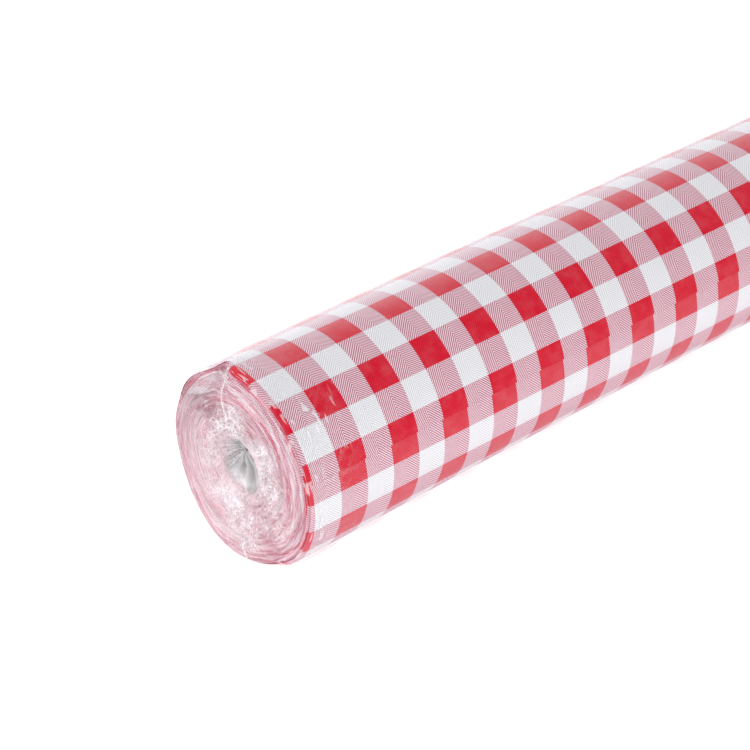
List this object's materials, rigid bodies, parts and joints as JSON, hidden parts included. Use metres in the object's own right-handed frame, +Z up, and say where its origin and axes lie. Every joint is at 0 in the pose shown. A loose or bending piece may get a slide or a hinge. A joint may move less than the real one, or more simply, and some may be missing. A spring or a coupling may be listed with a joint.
{
  "type": "tablecloth roll",
  "caption": "Long roll of gingham tablecloth wound on a tubular core and wrapped in clear film, open through the bore, lying flat on its side.",
  "frame": {"origin": "on the surface that the roll lies on, under the middle of the roll", "axes": "+X along the roll's axis, away from the end that is drawn open to view, +Y to the back, +Z up"},
  "size_m": [1.0012, 0.1064, 0.1056],
  "materials": {
    "core_board": "grey spiral-wound board, matte",
    "wound_cloth": "cut edges of a thin embossed cloth, matte",
    "printed_cloth": "red and white gingham print with a fine pressed twill, matte with a faint sheen",
    "clear_film": "thin clear wrapping film, glossy, creased at the ends"
  },
  "bodies": {
    "root": {"core_tube": "core_board", "turns_inner": "wound_cloth", "turns_middle": "wound_cloth", "turns_outer": "wound_cloth", "last_turn": "printed_cloth", "film_sleeve": "clear_film", "film_end_left": "clear_film", "film_end_right": "clear_film"}
  },
  "joints": []
}
